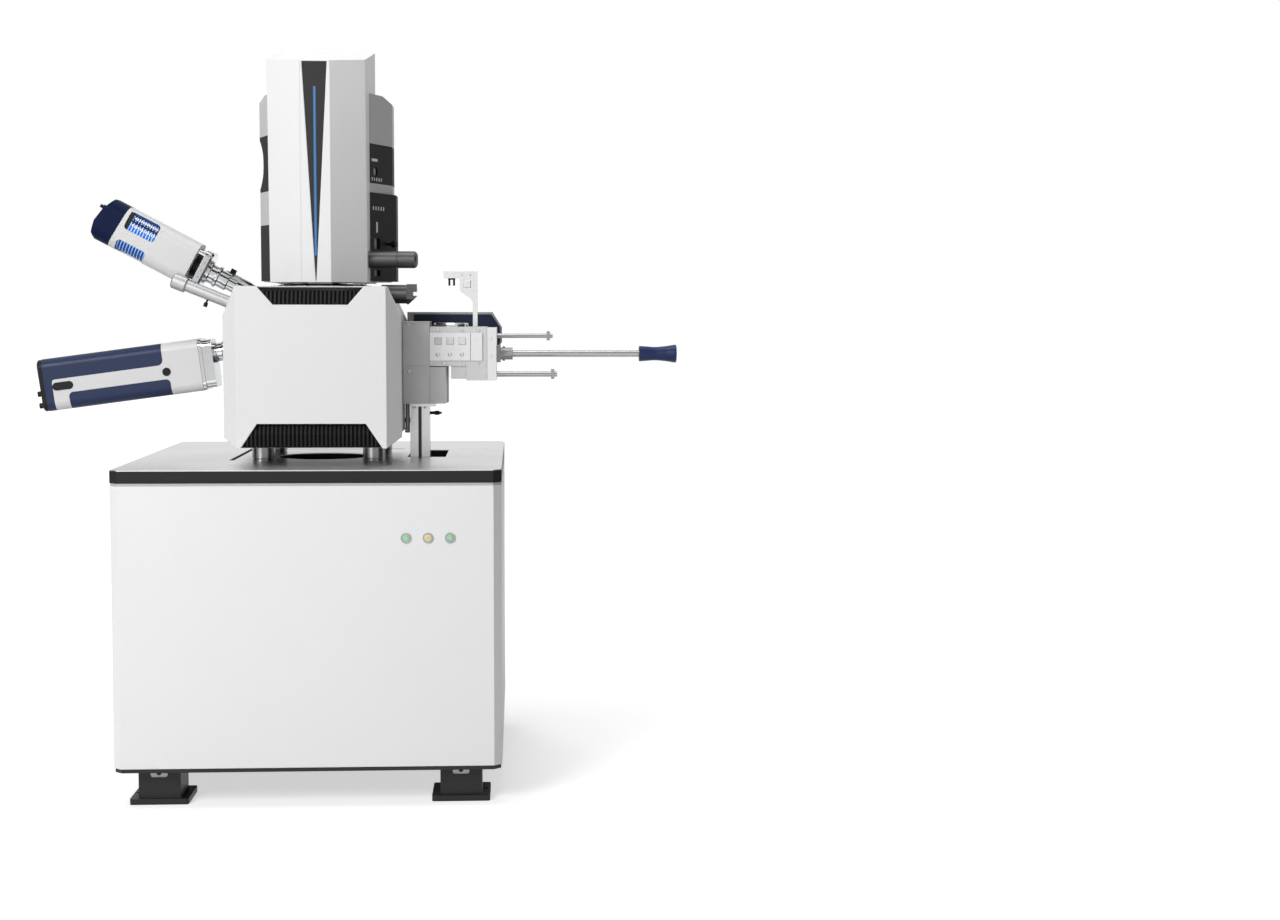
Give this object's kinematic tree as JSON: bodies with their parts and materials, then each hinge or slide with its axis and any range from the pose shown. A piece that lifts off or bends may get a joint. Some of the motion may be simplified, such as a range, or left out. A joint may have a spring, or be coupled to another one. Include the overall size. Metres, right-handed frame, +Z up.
{
  "type": "scanning electron microscope",
  "caption": "Floor-standing scanning electron microscope: white console with table, sliding chamber door with stage, faceted column, detectors and a load lock with transfer rod",
  "frame": {"origin": "on the floor, midway between the four feet, which is the middle of the console's plan outline", "axes": "+X to the right as the user faces the front panel, +Y from the front to the back, +Z up"},
  "size_m": [1.6302, 1.0722, 1.861],
  "materials": {
    "white_paint": "powder coat, fine texture",
    "grey_paint": "satin paint",
    "black_paint": "satin black paint",
    "black_board": "matt black edge",
    "satin_steel": "satin ground steel",
    "chrome": "polished plating",
    "grey_metal": "bead blasted and nickel plated grey",
    "machined_aluminium": "machined and clear anodised",
    "rubber": "black sealing rubber",
    "black_plastic": "fine texture",
    "navy_paint": "satin navy paint",
    "navy_plastic": "satin moulded",
    "blue_anodised": "anodised light blue",
    "green_button": "lit moulded lens",
    "amber_button": "lit moulded lens",
    "white_key": "satin key cap",
    "blue_light": "lit diffuser",
    "glass": "clear"
  },
  "bodies": {
    "console": {"back_panel": "white_paint", "base_frame": "black_paint", "button_bezels": "chrome", "cap_screws": "satin_steel", "chamber_body": "grey_metal", "chamber_tubes": "grey_metal", "column_barrels": "grey_metal", "column_collar": "chrome", "column_cover": "white_paint", "detector_ports": "chrome", "electron_column": "satin_steel", "feet": "black_paint", "front_panel": "white_paint", "guide_rods": "chrome", "light_strip": "blue_light", "load_lock_body": "machined_aluminium", "lock_plates": "machined_aluminium", "lock_post": "machined_aluminium", "objective_lens": "satin_steel", "pillars": "chrome", "rear_detector_frame": "grey_metal", "rear_detector_panel": "navy_paint", "service_panels": "black_plastic", "side_covers": "white_paint", "side_panels": "white_paint", "small_fittings": "black_plastic", "table_core": "black_board", "table_skin": "satin_steel", "trim_strip": "grey_paint", "turbo_pump": "satin_steel", "upper_detector_cap": "navy_paint", "upper_detector_fins": "blue_anodised", "upper_detector_shell": "white_paint", "window_glass": "glass", "window_ring": "chrome"},
    "door": {"door_plate": "machined_aluminium", "door_cover": "white_paint", "door_vents": "black_plastic", "door_gasket": "rubber", "stage_base": "machined_aluminium"},
    "stage_y": {"stage_y": "machined_aluminium"},
    "stage_x": {"stage_x": "machined_aluminium"},
    "stage_z": {"stage_z": "machined_aluminium"},
    "stage_tilt": {"stage_tilt": "satin_steel"},
    "turntable": {"stage_turntable": "satin_steel"},
    "spectrometer": {"eds_housing": "white_paint", "eds_panels": "navy_paint", "eds_end_cap": "black_plastic", "eds_snout": "chrome"},
    "lock_door": {"lock_door": "machined_aluminium", "rod_socket": "grey_metal"},
    "transfer": {"transfer_rod": "satin_steel"},
    "handle": {"rod_handle": "navy_plastic"},
    "gate": {"gate_plate": "satin_steel"},
    "operate_button": {"operate_button": "green_button"},
    "standby_button": {"standby_button": "amber_button"},
    "vent_button": {"vent_button": "green_button"},
    "lock_button_1": {"lock_button_1": "white_key"},
    "lock_button_2": {"lock_button_2": "white_key"},
    "lock_button_3": {"lock_button_3": "white_key"}
  },
  "joints": [
    {"name": "door_slide", "type": "slide", "parent": "console", "child": "door", "axis": [0, 1, 0], "range_m": [-0.33, 0]},
    {"name": "stage_y_slide", "type": "slide", "parent": "door", "child": "stage_y", "axis": [0, 1, 0], "range_m": [-0.05, 0.05]},
    {"name": "stage_x_slide", "type": "slide", "parent": "stage_y", "child": "stage_x", "axis": [1, 0, 0], "range_m": [-0.05, 0.05]},
    {"name": "stage_z_slide", "type": "slide", "parent": "stage_x", "child": "stage_z", "axis": [0, 0, 1], "range_m": [-0.03, 0]},
    {"name": "stage_tilt", "type": "hinge", "parent": "stage_z", "child": "stage_tilt", "pos_m": [0, -0.064, 1.062], "axis": [1, 0, 0], "range_deg": [-10, 60]},
    {"name": "stage_rotation", "type": "hinge", "parent": "stage_tilt", "child": "turntable", "pos_m": [0, -0.064, 1.058], "axis": [0, 0, 1], "continuous": true},
    {"name": "spectrometer_slide", "type": "slide", "parent": "console", "child": "spectrometer", "axis": [-0.991, 0, -0.134], "range_m": [0, 0.045]},
    {"name": "lock_door_slide", "type": "slide", "parent": "console", "child": "lock_door", "axis": [1, 0, 0], "range_m": [0, 0.127]},
    {"name": "transfer_slide", "type": "slide", "parent": "lock_door", "child": "transfer", "axis": [1, 0, 0], "range_m": [-0.24, 0]},
    {"name": "handle_turn", "type": "hinge", "parent": "transfer", "child": "handle", "pos_m": [0.8127, -0.064, 1.0695], "axis": [1, 0, 0], "range_deg": [0, 90]},
    {"name": "gate_slide", "type": "slide", "parent": "console", "child": "gate", "axis": [0, 0, 1], "range_m": [0, 0.055]},
    {"name": "operate_button_press", "type": "slide", "parent": "console", "child": "operate_button", "axis": [0, 1, 0], "range_m": [0, 0.0025], "stiffness_N_per_m": 200},
    {"name": "standby_button_press", "type": "slide", "parent": "console", "child": "standby_button", "axis": [0, 1, 0], "range_m": [0, 0.0025], "stiffness_N_per_m": 200},
    {"name": "vent_button_press", "type": "slide", "parent": "console", "child": "vent_button", "axis": [0, 1, 0], "range_m": [0, 0.0025], "stiffness_N_per_m": 200},
    {"name": "lock_button_1_press", "type": "slide", "parent": "console", "child": "lock_button_1", "axis": [0, 1, 0], "range_m": [0, 0.002], "stiffness_N_per_m": 200},
    {"name": "lock_button_2_press", "type": "slide", "parent": "console", "child": "lock_button_2", "axis": [0, 1, 0], "range_m": [0, 0.002], "stiffness_N_per_m": 200},
    {"name": "lock_button_3_press", "type": "slide", "parent": "console", "child": "lock_button_3", "axis": [0, 1, 0], "range_m": [0, 0.002], "stiffness_N_per_m": 200}
  ]
}
